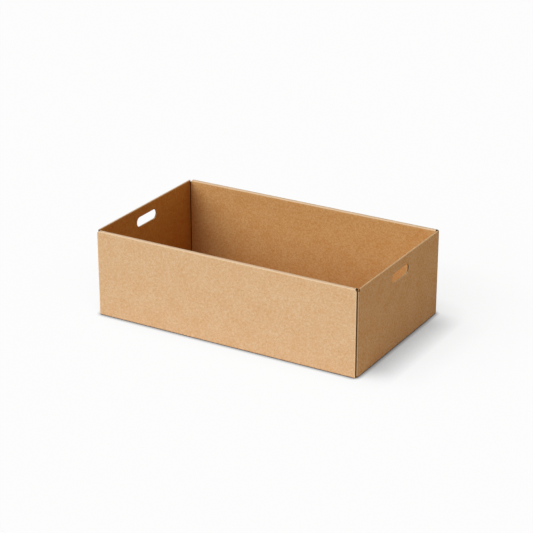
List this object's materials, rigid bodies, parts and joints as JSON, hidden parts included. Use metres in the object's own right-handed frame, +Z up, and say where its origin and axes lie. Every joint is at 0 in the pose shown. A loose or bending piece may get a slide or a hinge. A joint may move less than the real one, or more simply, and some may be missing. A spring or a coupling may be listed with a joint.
{
  "type": "cardboard tray box",
  "caption": "Open rectangular tray folded from kraft board, with rolled-over double side walls, plain end walls and rounded hand holes for carrying and display.",
  "frame": {"origin": "middle of the underside, on the surface the tray stands on", "axes": "+X along the length, +Y across the width, +Z up out of the open top"},
  "size_m": [0.36, 0.216, 0.111],
  "materials": {
    "kraft_board": "matt"
  },
  "bodies": {
    "root": {"tray": "kraft_board"}
  },
  "joints": []
}
